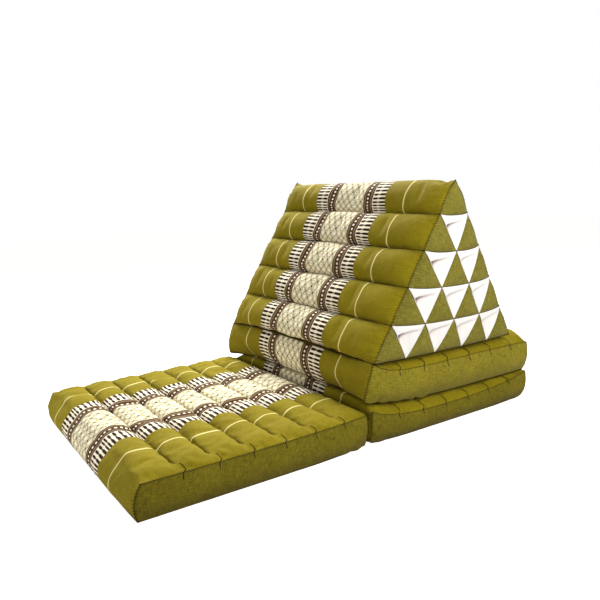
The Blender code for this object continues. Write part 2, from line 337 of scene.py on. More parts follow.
def chambray(name, light, dark):
    """Cloth of the ends and side bands: olive warp and a darker weft, matt and mottled."""
    finish, tree = new_finish(name)
    place = node(tree, "UVMap")
    colour = olive_cloth(tree, place, light, dark, BAND_HEATHER)
    height = weave_height(tree, place, BAND_WEAVE)
    bump = node(tree, "Bump", {"Strength": 0.3, "Distance": 0.4 * MM, "Height": height})
    shader = node(tree, "BsdfPrincipled", {
        "Base Color": colour, "Roughness": 0.92, "Specular IOR Level": 0.1, "Normal": bump,
        "Sheen Weight": 0.05, "Sheen Roughness": 0.5,
    })
    node(tree, "OutputMaterial", (shader,))
    return finish


face_cotton = patterned_cotton("woven_strip_cotton", True, FRONT_SLOPE_START)
plain_cotton = patterned_cotton("plain_olive_cotton", False, BACK_SLOPE_START)
end_chambray = chambray("olive_chambray", "#8E8636", "#5C541A")
band_chambray = chambray("brown_olive_chambray", "#877B1E", "#544A0C")
light_chambray = chambray("light_olive_chambray", "#9A8E2A", "#665C14")

# Bolster: one kapok-filled prism. Each slope is sewn into five fat rows, its ridge is
# pulled up into two tips, and its ends are puffed triangles between sunk white ones.
FRAME_SHIFT = 3.1 * MM
WIDTH = 530 * MM
HALF = WIDTH / 2
BOLSTER_ROWS = 5
CELL_STEPS = 12
ACROSS_STEPS = 80
BASE_HEIGHT = 148 * MM
APEX = Vector((0, 208 * MM + FRAME_SHIFT, 470 * MM))
FRONT_FOOT = Vector((0, 6 * MM + FRAME_SHIFT, 153 * MM))
BACK_FOOT = Vector((0, 368 * MM + FRAME_SHIFT, 150 * MM))
ROW_SAG = 6 * MM
BASE_SAG = 3.5 * MM
ROW_CROWN = 21 * MM
ROW_ARC = 94 * MM
ROW_DROOP = 4 * MM
EDGE_SWELL = 1.5 * MM
TIP_SWELL = 4 * MM
ROW_END_REACH = 52 * MM
RIDGE_DIP = 6 * MM
RIDGE_EARS = (3 * MM, 12 * MM)
END_CROWN = 14 * MM
CELL_PUFF = 6.5 * MM
POCKET_DEPTH = 13 * MM
UNDER_PANEL = 3 * MM
SIM_FRAMES = 16
SEAM_HOLD = 4 * MM
BOLSTER_GROWTH = 0.022
BOLSTER_SWELL = 5 * MM
BOLSTER_FOLDS = 1.1 * MM
FOLD_REACH = 26 * MM
SOFT_DENT = 0.8 * MM
SHARP_ANGLE = math.radians(44)
MERGE_GAP = 0.05 * MM
TINY = 1e-9


def select_only(pieces):
    """Selects these pieces, with the first one active."""
    bpy.ops.object.select_all(action="DESELECT")
    for piece in pieces:
        piece.select_set(True)
    bpy.context.view_layer.objects.active = pieces[0]


def flat_grid(name, columns, rows):
    """A flat grid to start from."""
    bpy.ops.object.select_all(action="DESELECT")
    bpy.ops.mesh.primitive_grid_add(x_subdivisions=columns, y_subdivisions=rows, size=1)
    bpy.context.object.name = name
    return bpy.context.object


def add_grid(name, columns, rows, place, cloth, slot_of, finishes):
    """A grid whose points go to place(column, row), its UV to cloth(), its finish to slot_of()."""
    piece = flat_grid(name, columns, rows)
    shape_grid(piece, columns, rows, place, cloth, slot_of, finishes)
    return piece


def add_triangle_grid(name, steps, place, cloth, slot_of, finishes):
    """Half of a grid, split along its diagonals: points (down, back) with back up to down."""
    piece = flat_grid(name, steps, steps)
    bpy.ops.object.mode_set(mode="EDIT")
    bpy.ops.mesh.select_all(action="SELECT")
    bpy.ops.mesh.quads_convert_to_tris(quad_method="FIXED")
    bpy.ops.mesh.select_all(action="DESELECT")
    bpy.ops.object.mode_set(mode="OBJECT")
    for face in piece.data.polygons:
        face.select = face.center.y > face.center.x
    bpy.ops.object.mode_set(mode="EDIT")
    bpy.ops.mesh.delete(type="FACE")
    bpy.ops.object.mode_set(mode="OBJECT")
    shape_grid(piece, steps, steps, place, cloth, slot_of, finishes)
    return piece


def shape_grid(piece, columns, rows, place, cloth, slot_of, finishes):
    """Moves a flat grid's points to their places, and lays its UV map and finishes."""
    mesh = piece.data
    for finish in finishes:
        mesh.materials.append(finish)
    keys = [(round((v.co.x + 0.5) * columns), round((v.co.y + 0.5) * rows)) for v in mesh.vertices]
    layer = mesh.uv_layers.active.data
    for loop in mesh.loops:
        layer[loop.index].uv = cloth(*keys[loop.vertex_index])
    for face in mesh.polygons:
        column = min(keys[k][0] for k in face.vertices)
        row = min(keys[k][1] for k in face.vertices)
        face.material_index = slot_of(column, row)
    for vertex, key in zip(mesh.vertices, keys):
        vertex.co = place(*key)


def join_closed(name, parts, rolled=lambda point: False):
    """Joins parts that share their rims into one closed body, faces out and sewn edges crisp.
    An edge whose ends are both rolled has no seam, and the cloth runs round it."""
    select_only(parts)
    bpy.ops.object.join()
    piece = bpy.context.object
    piece.name = name
    bpy.ops.object.mode_set(mode="EDIT")
    bpy.ops.mesh.select_all(action="SELECT")
    bpy.ops.mesh.remove_doubles(threshold=MERGE_GAP)
    bpy.ops.mesh.normals_make_consistent(inside=False)
    bpy.ops.mesh.select_all(action="DESELECT")
    bpy.ops.mesh.edges_select_sharp(sharpness=SHARP_ANGLE)
    bpy.ops.transform.edge_crease(value=1.0)
    bpy.ops.object.mode_set(mode="OBJECT")
    creases = piece.data.attributes["crease_edge"].data
    for edge in piece.data.edges:
        if all(rolled(piece.data.vertices[k].co) for k in edge.vertices):
            creases[edge.index].value = 0.0
    return piece


def puff(piece, held, growth, cap):
    """Swells a sewn cover as its filling does: seams and held points stay, the cloth between
    them is a little larger than its place and creases towards them."""
    mesh = piece.data
    start = [v.co.copy() for v in mesh.vertices]
    creases = mesh.attributes["crease_edge"].data
    sewn = {k for edge in mesh.edges if creases[edge.index].value > 0.5 for k in edge.vertices}
    pins = piece.vertex_groups.new(name="sewn")
    pins.add([v.index for v in mesh.vertices if v.index in sewn or held(v.co)], 1.0, "REPLACE")
    select_only([piece])
    cloth = piece.modifiers.new("filling", "CLOTH")
    settings = cloth.settings
    settings.quality = 5
    settings.mass = 0.2
    settings.tension_stiffness = 12
    settings.compression_stiffness = 12
    settings.bending_stiffness = 0.3
    settings.use_pressure = True
    settings.uniform_pressure_force = 4
    settings.shrink_min = -growth
    settings.vertex_group_mass = "sewn"
    settings.effector_weights.gravity = 0
    cloth.collision_settings.use_collision = False
    cloth.point_cache.frame_start = 1
    cloth.point_cache.frame_end = SIM_FRAMES
    for frame_number in range(1, SIM_FRAMES + 1):
        bpy.context.scene.frame_set(frame_number)
    bpy.ops.object.modifier_apply(modifier=cloth.name)
    bpy.context.scene.frame_set(1)
    for vertex, home in zip(piece.data.vertices, start):
        moved = vertex.co - home
        if moved.length > cap:
            vertex.co = home + moved * (cap / moved.length)


def subdivide_once(piece):
    """One level of subdivision, applied, with smooth shading."""
    select_only([piece])
    rounding = piece.modifiers.new("rounding", "SUBSURF")
    rounding.levels = 1
    rounding.render_levels = 1
    bpy.ops.object.modifier_apply(modifier=rounding.name)
    bpy.ops.object.shade_smooth()


def end_rise(x, reach):
    """0 at an end seam and 1 from reach inwards."""
    return math.sin(math.pi / 2 * min(1.0, max(0.0, HALF - abs(x)) / reach))


def across(column):
    """Where a column of the grid lies along X, closer together towards the ends."""
    s = 2 * column / ACROSS_STEPS - 1
    return HALF * (0.7 * s + 0.3 * math.sin(s * math.pi / 2))


def lattice(down, back):
    """A point of the bolster's section, in rows below the ridge and cells from the front.
    The lines sag a little between the front edge and the back one."""
    point = APEX + (FRONT_FOOT - APEX) * (down / BOLSTER_ROWS)
    point += (BACK_FOOT - FRONT_FOOT) * (back / BOLSTER_ROWS)
    share = back / down if down else 0.0
    depth = ROW_SAG + (BASE_SAG - ROW_SAG) * max(0.0, down - (BOLSTER_ROWS - 1))
    point.z -= depth * (1 - abs(2 * share - 1) ** 3) * min(1.0, down / 2)
    return point


def ridge_ear(down, x):
    """The ridge dips along its middle and rises towards its two tips."""
    near_tip = max(0.0, abs(x) / HALF - 0.5) / 0.5
    lift = RIDGE_EARS[0 if x > 0 else 1] * near_tip ** 2.5 - RIDGE_DIP
    return lift * max(0.0, 1.0 - down)


def slope_point(x, down, side):
    """A point of a slope: rows swell between their sewn lines and flatten at the end seams."""
    row = min(BOLSTER_ROWS - 1, int(down))
    t = down - row
    fullness = end_rise(x, ROW_END_REACH)
    spaced = t + ((1 - math.cos(math.pi * t)) / 2 - t) * fullness
    point = lattice(row + spaced, 0 if side < 0 else row + spaced)
    run = (FRONT_FOOT if side < 0 else BACK_FOOT) - APEX
    normal = Vector((0, side * abs(run.z), abs(run.y))).normalized()
    uneven = 1 + 0.10 * noise.noise(Vector((x * 7, row * 3.1 + side, 0.5)))
    swell = math.sin(math.pi * t) ** 0.75
    at_edge = TIP_SWELL if row == 0 else EDGE_SWELL
    point += normal * swell * (ROW_CROWN * uneven * fullness + at_edge * (1 - fullness))
    point.z -= ROW_DROOP * math.sin(math.pi * t) * fullness
    point.x = x
    point.z += ridge_ear(row + spaced, x)
    return point


def bolster_wrap(column, ring):
    """Down the front slope, back along the base and up the back slope."""
    x = across(column)
    steps = BOLSTER_ROWS * CELL_STEPS
    if ring <= steps:
        return slope_point(x, ring / CELL_STEPS, -1)
    if ring < 2 * steps:
        point = lattice(BOLSTER_ROWS, (ring - steps) / CELL_STEPS)
        point.x = x
        return point
    return slope_point(x, (3 * steps - ring) / CELL_STEPS, 1)


def pocket_depth(fall, along):
    """Depth of a sunk white triangle, deepest at a fold a quarter of the way down."""
    if fall <= 0.0 or fall >= 1.0 or along <= fall or along >= 1.0:
        return 0.0
    profile = fall / 0.25 if fall < 0.25 else (1.0 - fall) / 0.75
    over = (along - fall) / (1.0 - fall)
    return POCKET_DEPTH * profile ** 0.8 * (4 * over * (1 - over)) ** 0.6


def end_crown(down, back):
    """How far an end's swell stands out past its outer seam."""
    top, near, far = 1 - down / BOLSTER_ROWS, (down - back) / BOLSTER_ROWS, back / BOLSTER_ROWS
    return END_CROWN * max(0.0, 27 * top * near * far) ** 0.6


def end_seam_point(side, down, back):
    """A point of an end's seams, where the cloth isn't puffed."""
    point = lattice(down, back)
    point.x = side * (HALF + end_crown(down, back))
    point.z += ridge_ear(down, side * HALF)
    return point


def bolster_end(side):
    """The place function of an end's grid, on the side -1 or +1."""
    def place(i, j):
        down, back = i / CELL_STEPS, j / CELL_STEPS
        if j == 0:
            return slope_point(side * HALF, down, -1)
        if j == i:
            return slope_point(side * HALF, down, 1)
        point = end_seam_point(side, down, back)
        if i == BOLSTER_ROWS * CELL_STEPS:
            point.x = side * HALF
            return point
        row, cell = min(BOLSTER_ROWS - 1, int(down + TINY)), int(back + TINY)
        fall, along = down - row, back - cell
        if along > fall + TINY:
            depth = pocket_depth(fall, along)
            point.x -= side * (depth + (UNDER_PANEL if depth else 0.0))
        else:
            puffed = max(0.0, 27 * (1 - fall) * (fall - along) * along) ** 0.45
            point.x += side * CELL_PUFF * puffed
        return point
    return place


def gather(piece, lines, depth):
    """Small folds that run in from the end seams, where the long cloth is eased to the short."""
    mesh = piece.data
    layer = mesh.uv_layers.active.data
    along = {}
    for loop in mesh.loops:
        along[loop.vertex_index] = layer[loop.index].uv
    normals = [v.normal.copy() for v in mesh.vertices]
    for vertex, normal in zip(mesh.vertices, normals):
        inward = HALF - abs(vertex.co.x)
        if abs(normal.x) > 0.8 or not lines(vertex.co) or inward < 0:
            continue
        v = along[vertex.index][1]
        soft = noise.noise(Vector((vertex.co.x * 9, v * 14, 2.0)))
        fold = noise.noise(Vector((vertex.co.x * 12, v * 95, 7.0)))
        reach = min(1.0, inward / (5 * MM)) * math.exp(-inward / FOLD_REACH)
        dent = SOFT_DENT * soft * min(1.0, inward / (20 * MM))
        vertex.co += normal * (depth * 2.2 * fold * reach + dent)


steps = BOLSTER_ROWS * CELL_STEPS
bolster_finishes = (face_cotton, plain_cotton, end_chambray)
wrap = add_grid(
    "bolster_wrap", ACROSS_STEPS, 3 * steps, bolster_wrap,
    lambda column, ring: (across(column), ring / CELL_STEPS * ROW_ARC),
    lambda column, ring: 0 if ring < steps else 1, bolster_finishes,
)
ends = [
    add_triangle_grid(
        "bolster_end", steps, bolster_end(side),
        lambda i, j: (lattice(i / CELL_STEPS, j / CELL_STEPS).y, -lattice(i / CELL_STEPS, 0).z),
        lambda i, j: 2, bolster_finishes,
    )
    for side in (-1, 1)
]
bolster = join_closed("bolster_cushion", [wrap] + ends)
puff(bolster, lambda p: p.z < BASE_HEIGHT + SEAM_HOLD or abs(p.x) > HALF - SEAM_HOLD,
     BOLSTER_GROWTH, BOLSTER_SWELL)
subdivide_once(bolster)
gather(bolster, lambda p: p.z > BASE_HEIGHT + SEAM_HOLD, BOLSTER_FOLDS)
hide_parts("bolster")
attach(bolster, "root")

# White panels: a cotton triangle sewn point down between the olive ones. Its upper part
# hangs as a soft band over a tuck, and the rest slopes back out to the foot.
PANEL_STEPS = 20
PANEL_THICKNESS = 1.3 * MM
PANEL_LIFT = 1.2 * MM
TUCK_TOP = 0.25
TUCK_RISE = 0.14
TUCK_FALL = 0.06
BAND_SWELL = 1.6 * MM
PANEL_WEAVE = 1.5 * MM
OBJECT_PLACE = 3


def white_cotton(name, shade):
    """Bleached cotton: a fine plain weave, soft and bright, with painted shadow in the tuck under its
    band, dark brown in the tuck and pinkish below it; shade sets how dark. The weave is drawn three times
    coarser than it is, to show."""
    finish, tree = new_finish(name)
    place = node(tree, "TexCoord", out=OBJECT_PLACE)
    turned = node(tree, "Mapping", {"Vector": place, "Rotation": (0, math.radians(90), 0)})
    height = weave_height(tree, turned, PANEL_WEAVE)
    bump = node(tree, "Bump", {"Strength": 0.15, "Distance": 0.3 * MM, "Height": height})
    parts = node(tree, "SeparateXYZ", (node(tree, "UVMap"),)).node.outputs
    # Painted shadow under the band: it lies between two slanting lines and fades across the tuck, and a
    # paler pinkish painted shade covers what is under it.
    drops = []
    for slope in (0.14, 0.38):
        slant = node(tree, "Math", (parts[0], slope), operation="MULTIPLY")
        drops.append(node(tree, "Math", (parts[1], slant), operation="ADD"))
    above = node(tree, "MapRange", {"Value": drops[0], "From Min": 0.245, "From Max": 0.27})
    below = node(tree, "MapRange", {"Value": drops[1], "From Min": 0.48, "From Max": 0.40})
    lower = node(tree, "MapRange", {"Value": drops[1], "From Min": 0.85, "From Max": 0.35})
    fading = node(tree, "MapRange", {"Value": parts[0], "From Min": 0.70, "From Max": 0.12})
    edge = node(tree, "MapRange", {"Value": parts[0], "From Min": 0.0, "From Max": 0.07})
    fading = node(tree, "Math", (fading, edge), operation="MULTIPLY")
    painted_tuck_shadow = node(tree, "Math", (above, fading), operation="MULTIPLY")
    painted_pink_shade = node(tree, "Math", (painted_tuck_shadow, lower), operation="MULTIPLY")
    painted_pink_shade = node(tree, "Math", (painted_pink_shade, 0.5), operation="MULTIPLY")
    painted_tuck_shadow = node(tree, "Math", (painted_tuck_shadow, below), operation="MULTIPLY")
    painted_tuck_shadow = node(tree, "Math", (painted_tuck_shadow, shade), operation="MULTIPLY")
    # Pale pink painted shade below the tuck, then dark brown painted shadow in it.
    colour = node(tree, "Mix", {0: painted_pink_shade, 6: linear("#EFE8E2"), 7: linear("#DDBFB2")},
                  out=MIX_COLOUR, data_type="RGBA")
    colour = node(tree, "Mix", {0: painted_tuck_shadow, 6: colour, 7: linear("#4E3026")},
                  out=MIX_COLOUR, data_type="RGBA")
    shader = node(tree, "BsdfPrincipled", {
        "Base Color": colour, "Roughness": 0.9, "Specular IOR Level": 0.2,
        "Normal": bump, "Subsurface Weight": 0.25, "Subsurface Radius": (0.006, 0.003, 0.002),
        "Subsurface Scale": 1.0, "Sheen Weight": 0.1,
    })
    node(tree, "OutputMaterial", (shader,))
    return finish


def panel_place(side, row, cell):
    """The place function of a white panel's grid, whose first point is its foot."""
    def place(i, j):
        fall = 1 - i / PANEL_STEPS
        over = j / i if i else 0.5
        point = lattice(row + fall, cell + fall + (1 - fall) * over)
        crown = end_crown(row + fall, cell + fall + (1 - fall) * over)
        lip_line = TUCK_TOP - TUCK_RISE * over
        tuck = min(1.0, max(0.0, (fall - lip_line) / TUCK_FALL))
        tuck = tuck * tuck * (3 - 2 * tuck)
        slope = min(1.0, (1 - fall) / (1 - lip_line - TUCK_FALL))
        side_fade = min(1.0, 4 * over) * min(1.0, 2.2 * (1 - over)) ** 0.8
        band = BAND_SWELL * math.sin(math.pi * min(1.0, fall / (lip_line + 0.03))) ** 0.7 * side_fade
        depth = POCKET_DEPTH * tuck * slope ** 1.2 * side_fade * (1.1 - 0.7 * over)
        point.x = side * (HALF + crown + PANEL_LIFT + band - depth)
        point.z += ridge_ear(row + fall, side * HALF)
        return point
    return place


# The front column's panels get a deeper painted shadow in their tuck, and the others a fainter one.
with_deep_painted_shade = white_cotton("bleached_cotton_stained", 0.95)
with_faint_painted_shade = white_cotton("bleached_cotton", 0.45)
panels = []
for side, word in ((-1, "left"), (1, "right")):
    for row in range(1, BOLSTER_ROWS):
        for cell in range(row):
            node_name = f"white_panel_{word}_{row + 1}_{cell + 1}"
            panel = add_triangle_grid(
                node_name + "_cloth", PANEL_STEPS, panel_place(side, row, cell),
                lambda i, j: (j / i if i else 0.5, 1 - i / PANEL_STEPS), lambda i, j: 0,
                (with_faint_painted_shade if cell else with_deep_painted_shade,),
            )
            if (panel.data.polygons[0].normal.x > 0) != (side > 0):
                panel.data.flip_normals()
            wall = panel.modifiers.new("cloth_thickness", "SOLIDIFY")
            wall.thickness = PANEL_THICKNESS
            wall.offset = -1
            bpy.ops.object.modifier_apply(modifier=wall.name)
            subdivide_once(panel)
            panels.append(panel)
            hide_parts(node_name)
            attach(panel, "root")

# Mat: three kapok-filled sections of seven rows. The upper two are folded on each other
# under the bolster, patterned faces together, and the front one lies open.
MAT_ROWS = 7
ROW_STEPS = 10
SIDE_STEPS = 6
CHANNEL_FADE = 26 * MM
SEAM_MARGIN = 12 * MM
TOP_ARC = 6.6 * MM
SIDE_ARC = 10.8 * MM
# In millimetres: seam is the side seam's height in front, in the middle and behind, decay
# how soon it levels, far_seam its rise at the far end, and reach how far the rows slope to
# the ends. Pairs are for the ends and the middle, groove is the channels' share of the
# rows' height, and ends picks the finish of the end bands.
MATS = (
    dict(name="mat_upper", front=4, back=426, low=62.5, high=147.4, seam=(152.2, 126.5, 124), decay=38,
         groove=0.3, reach=45, front_bulge=(7, 18), front_lean=(-17, 2), back_bulge=12,
         end_bulge=8, end_tuck=8, patterned=("under", "front"), growth=0.02, ends=2, far_seam=18),
    dict(name="mat_lower", front=0, back=424, low=0, high=61.6, seam=(66, 38, 60), decay=60,
         groove=0.3, reach=45, front_bulge=(3, 8), front_lean=(0, 2), back_bulge=10,
         end_bulge=6, end_tuck=8, patterned=("top", "front"), growth=0.02, ends=3, far_seam=0),
    dict(name="mat_front", front=-428, back=-13, low=0, high=71, seam=(59, 57, 63), decay=50,
         groove=0.8, reach=40, front_bulge=(9, 16), front_lean=(-7, -9), back_bulge=6,
         end_bulge=6, end_tuck=4, patterned=("top", "front"), growth=0.03, ends=3, far_seam=0),
)
FOLD_LIFT = 24 * MM
FOLD_LIFT_REACH = 75 * MM
LOW_LIFTS = {"mat_lower": (6, 6), "mat_front": (0, 8)}
LOW_LIFT_REACH = 55 * MM
CORNER_REACH = 45 * MM
END_REACH = 40 * MM
SEAM_DRAW = 6 * MM
SEAM_DRAW_REACH = 20 * MM
BOLSTER_GAP = 0.6 * MM
MAT_SWELL = 4 * MM
MAT_FOLDS = 0.8 * MM


def fold_lift(y):
    """How far the two folded sections curve up at their open front edge."""
    return FOLD_LIFT * math.exp(-(y + 10 * MM) / FOLD_LIFT_REACH)


def mat_shape(mat):
    """The place functions of a mat: its wrap, its end on either side, and its top."""
    name = mat["name"]
    front, back = mat["front"] * MM + FRAME_SHIFT, mat["back"] * MM + FRAME_SHIFT
    low, high = mat["low"] * MM, mat["high"] * MM
    seam_front, seam_middle, seam_back = [value * MM for value in mat["seam"]]
    decay = mat["decay"] * MM
    top_steps = MAT_ROWS * ROW_STEPS

    def seam_height(x, y):
        middle = seam_middle + mat["far_seam"] * MM * max(0.0, -x / HALF) ** 4
        return (middle + (seam_front - middle) * math.exp(-(y - front) / decay)
                + (seam_back - middle) * math.exp(-(back - y) / (1.5 * decay)))

    def top_height(y):
        if name == "mat_upper":
            back_share = (y - FRONT_FOOT.y) / (BACK_FOOT.y - FRONT_FOOT.y)
            under = lattice(BOLSTER_ROWS, BOLSTER_ROWS * min(1.0, max(0.0, back_share)))
            return under.z - BOLSTER_GAP
        if name == "mat_lower":
            return high + fold_lift(y)
        return high

    def under_height(x, y):
        if name == "mat_upper":
            return low + fold_lift(y)
        lifts = LOW_LIFTS[name]
        corner = math.exp(-(HALF - min(HALF, abs(x))) / CORNER_REACH)
        return low + corner * MM * (lifts[0] * math.exp(-(y - front) / LOW_LIFT_REACH)
                                    + lifts[1] * math.exp(-(back - y) / LOW_LIFT_REACH))

    def near_end(x):
        return math.exp(-(HALF - min(HALF, abs(x))) / END_REACH)

    def front_line(x, fall):
        at_end = near_end(x)
        bulge = (mat["front_bulge"][0] * at_end + mat["front_bulge"][1] * (1 - at_end)) * MM
        lean = (mat["front_lean"][0] * at_end + mat["front_lean"][1] * (1 - at_end)) * MM
        return front - bulge * math.sin(math.pi * fall) ** 0.85 + lean * fall ** 1.5

    def back_line(x, fall):
        bulge = mat["back_bulge"] * MM * (1 - 0.6 * near_end(x))
        return back + bulge * math.sin(math.pi * fall) ** 0.85 - 3 * MM * fall ** 2

    def top_point(x, v):
        row = min(MAT_ROWS - 1, int(v * MAT_ROWS))
        t = v * MAT_ROWS - row
        inward = HALF - abs(x)
        channel = 0.22 + 0.78 * min(1.0, max(0.0, (inward - SEAM_MARGIN) / CHANNEL_FADE))
        spaced = t + ((1 - math.cos(math.pi * t)) / 2 - t) * channel
        y = front + (back - front) * (row + spaced) / MAT_ROWS
        inner = min(1.0, 30 * v * (1 - v))
        if inward > 0:
            y += SEAM_DRAW * math.exp(-(inward / SEAM_DRAW_REACH) ** 2) * inner
        valley = 1 - math.sin(math.pi * t) ** 0.8
        seam = seam_height(x, y)
        uneven = 1 + 0.07 * noise.noise(Vector((x * 6, row * 2.3, mat["low"] * 0.1)))
        rise = (top_height(y) - seam) * inner ** 0.5 * end_rise(x, mat["reach"] * MM)
        return Vector((x, y, seam + rise * min(uneven, 1.0) * (1 - mat["groove"] * channel * valley)))

    def side_point(x, edge, fall):
        y = front_line(x, fall) if edge == "front" else back_line(x, fall)
        top = top_point(x, 0 if edge == "front" else 1).z
        bottom = under_height(x, y)
        return Vector((x * (1 - mat["end_tuck"] * MM / HALF * fall ** 4), y, top + (bottom - top) * fall))

    def wrap_point(column, ring):
        x = across(column)
        if ring <= top_steps:
            return top_point(x, ring / top_steps)
        ring -= top_steps
        if ring < SIDE_STEPS:
            return side_point(x, "back", ring / SIDE_STEPS)
        ring -= SIDE_STEPS
        if ring <= top_steps:
            start, end = back_line(x, 1), front_line(x, 1)
            y = start + (end - start) * ring / top_steps
            return Vector((x * (1 - mat["end_tuck"] * MM / HALF), y, under_height(x, y)))
        return side_point(x, "front", 1 - (ring - top_steps) / SIDE_STEPS)

    def end_point(side):
        def place(i, f):
            v, fall = i / top_steps, f / SIDE_STEPS
            top = top_point(side * HALF, v)
            share = (top.y - front) / (back - front)
            y = front_line(HALF, fall) * (1 - share) + back_line(HALF, fall) * share
            bottom = under_height(HALF, y)
            swell = mat["end_bulge"] * MM * math.sin(math.pi * fall) * min(1.0, 20 * v * (1 - v)) ** 0.5
            x = HALF + swell - mat["end_tuck"] * MM * fall ** 4
            return Vector((side * x, y, top.z + (bottom - top.z) * fall))
        return place

    return wrap_point, end_point, top_point


def make_mat(mat, finishes):
    """Builds, swells and dresses one section, and gives it with its place functions."""
    name = mat["name"]
    top_steps = MAT_ROWS * ROW_STEPS
    rings = 2 * (top_steps + SIDE_STEPS)
    wrap_point, end_point, top_point = mat_shape(mat)
    patterned = mat["patterned"]

    def wrap_slot(column, ring):
        if ring < top_steps:
            return 0 if "top" in patterned else 1
        if ring < top_steps + SIDE_STEPS:
            return 1
        if ring < 2 * top_steps + SIDE_STEPS:
            return 0 if "under" in patterned else 1
        return 0 if "front" in patterned else 1

    def wrap_cloth(column, ring):
        along = -ring * TOP_ARC if ring < rings / 2 else (rings - ring) * SIDE_ARC
        return across(column), along + (BOLSTER_ROWS * ROW_ARC if name == "mat_upper" else 0)

    wrap = add_grid(name + "_wrap", ACROSS_STEPS, rings, wrap_point, wrap_cloth, wrap_slot, finishes)
    mat_ends = [
        add_grid(name + "_end", top_steps, SIDE_STEPS, end_point(side),
                 lambda i, f: (i * 6 * MM, f * 10 * MM), lambda i, f: mat["ends"], finishes)
        for side in (-1, 1)
    ]
    floor_line = (mat["low"] + 3) * MM
    front_edge = mat["front"] * MM + FRAME_SHIFT

    def rolled(point):
        on_front = point.y < front_edge + 0.5 * MM and abs(point.x) < HALF - 1 * MM
        return name != "mat_upper" and on_front and point.z > floor_line

    piece = join_closed(name + "_cushion", [wrap] + mat_ends, rolled)

    def held(point):
        if point.z < floor_line:
            return True
        if name == "mat_front":
            length = (mat["back"] - mat["front"]) * MM
            row = MAT_ROWS * (point.y - front_edge) / length
            return abs(row - round(row)) < 0.01 and point.z > 0.6 * mat["high"] * MM
        return abs(point.x) < HALF - 40 * MM and point.z > mat["high"] * MM - 12 * MM

    puff(piece, held, mat["growth"], MAT_SWELL)
    subdivide_once(piece)
    gather(piece, lambda p: p.z > floor_line, MAT_FOLDS)
    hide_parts(name)
    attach(piece, "root")
    return piece, wrap_point, end_point, top_point


mat_finishes = (face_cotton, plain_cotton, light_chambray, band_chambray)
made_mats = {mat["name"]: make_mat(mat, mat_finishes) for mat in MATS}

# Seams: dark waxed thread, laid on the swelled cloth. The outer edges are sewn over and over, so short
# slanted stitches cross them. The channels and the pleats get single dark lines in the same finish, which
# are painted shade in their creases and folds, and the base seams are thicker, partly to paint the shadow
# under the bolster's base edge. The stack's far front corner then sinks a little, with all that is sewn
# to it.
SEAM_RADIUS = 0.42 * MM
# The base seams' thread is thicker than the rest: partly a real seam, partly painted shadow under the
# base edge.
BASE_SEAM_AND_SHADOW_RADIUS = 0.9 * MM
# Dark lines along the channels, painted shade in their creases.
CHANNEL_SHADE_LINE_RADIUS = 0.7 * MM
CHANNEL_STOP = 24 * MM
# Dark lines down the pleats, painted shade in their folds.
PLEAT_SHADE_RADIUS = 0.75 * MM
PLEAT_LENGTH = 17 * MM
STITCH_RADIUS = 0.42 * MM
STITCH_LENGTH = 6.5 * MM
STITCH_PITCH = 5.2 * MM
KNOT_RADIUS = 1.6 * MM
PANEL_SEAM_LIFT = 0.2 * MM
PANEL_SEAM_STEPS = 8
CLOTH_REACH = 10 * MM
SINK_DEPTH = 11 * MM
SINK_REACH = 120 * MM
SINK_FROM = 80 * MM
SINK_TO = 270 * MM


def thread_and_shade_finish():
    """Waxed cotton thread, brown-black and matt. It also draws the dark lines of painted shade along the
    channels and pleats.
    """
    finish, tree = new_finish("dark_waxed_thread_and_painted_shade")
    place = node(tree, "TexCoord", out=OBJECT_PLACE)
    fibre = node(tree, "TexNoise", {"Vector": place, "Scale": 500.0})
    colour = node(tree, "Mix", {0: fibre, 6: linear("#171004"), 7: linear("#33280C")},
                  out=MIX_COLOUR, data_type="RGBA")
    shader = node(tree, "BsdfPrincipled", {"Base Color": colour, "Roughness": 0.85,
                                           "Specular IOR Level": 0.2})
    node(tree, "OutputMaterial", (shader,))
    return finish


def sew(name, threads, finish):
    """Lays threads as round tubes in one piece: each is a list of points and one radius."""
    bpy.ops.object.select_all(action="DESELECT")
    bpy.ops.curve.primitive_bezier_curve_add()
    piece = bpy.context.object
    piece.name = name
    piece.data.splines.clear()
    piece.data.bevel_depth = 1 * MM
    piece.data.bevel_resolution = 0
    piece.data.use_fill_caps = True
    for points, radius in threads:
        spline = piece.data.splines.new("POLY")
        spline.points.add(len(points) - 1)
        for spot, point in zip(spline.points, points):
            spot.co = (point.x, point.y, max(point.z, radius), 1)
            spot.radius = radius / MM
    piece.data.materials.append(finish)
    bpy.ops.object.convert(target="MESH")
    bpy.ops.object.shade_smooth()
    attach(piece, "root")
    return piece


def settle(threads, piece):
    """Lays threads onto a piece's cloth, half sunk into it."""
    cloth = BVHTree.FromObject(piece, bpy.context.evaluated_depsgraph_get())
    laid = []
    for points, radius in threads:
        spots = []
        for point in points:
            place, normal, _, gap = cloth.find_nearest(point)
            spots.append(place + normal * 0.3 * radius if gap < CLOTH_REACH else point)
        laid.append((spots, radius))
    return laid


def overcast(path, outward, share=1.0):
    """Slanted stitches across an edge, each over it and into the cloth on both sides."""
    stitches = []
    carried = 0.0
    for start, end in zip(path, path[1:]):
        span = (end - start).length
        if span < 1e-6:
            continue
        along = (end - start) / span
        over = along.cross(outward).normalized()
        while carried < span:
            middle = start + along * carried
            reach = (over * 0.8 + along * 0.6) * STITCH_LENGTH / 2 * share
            points = [middle - reach - outward * 1.2 * MM, middle + outward * 0.9 * MM,
                      middle + reach - outward * 1.2 * MM]
            stitches.append((points, STITCH_RADIUS * share))
            carried += STITCH_PITCH * (1 + 0.25 * noise.noise(middle * 90))
        carried -= span
    return stitches


def knot(point):
    """A few turns of thread where seams meet."""
    step = Vector((0, 0, 0.6 * KNOT_RADIUS))
    return [point - step, point, point + step], KNOT_RADIUS * 0.8


def stitched(path, outward, radius=SEAM_RADIUS, share=1.0):
    """A thread along an edge, and the stitches across it."""
    return [(path, radius)] + overcast(path, Vector(outward).normalized(), share)


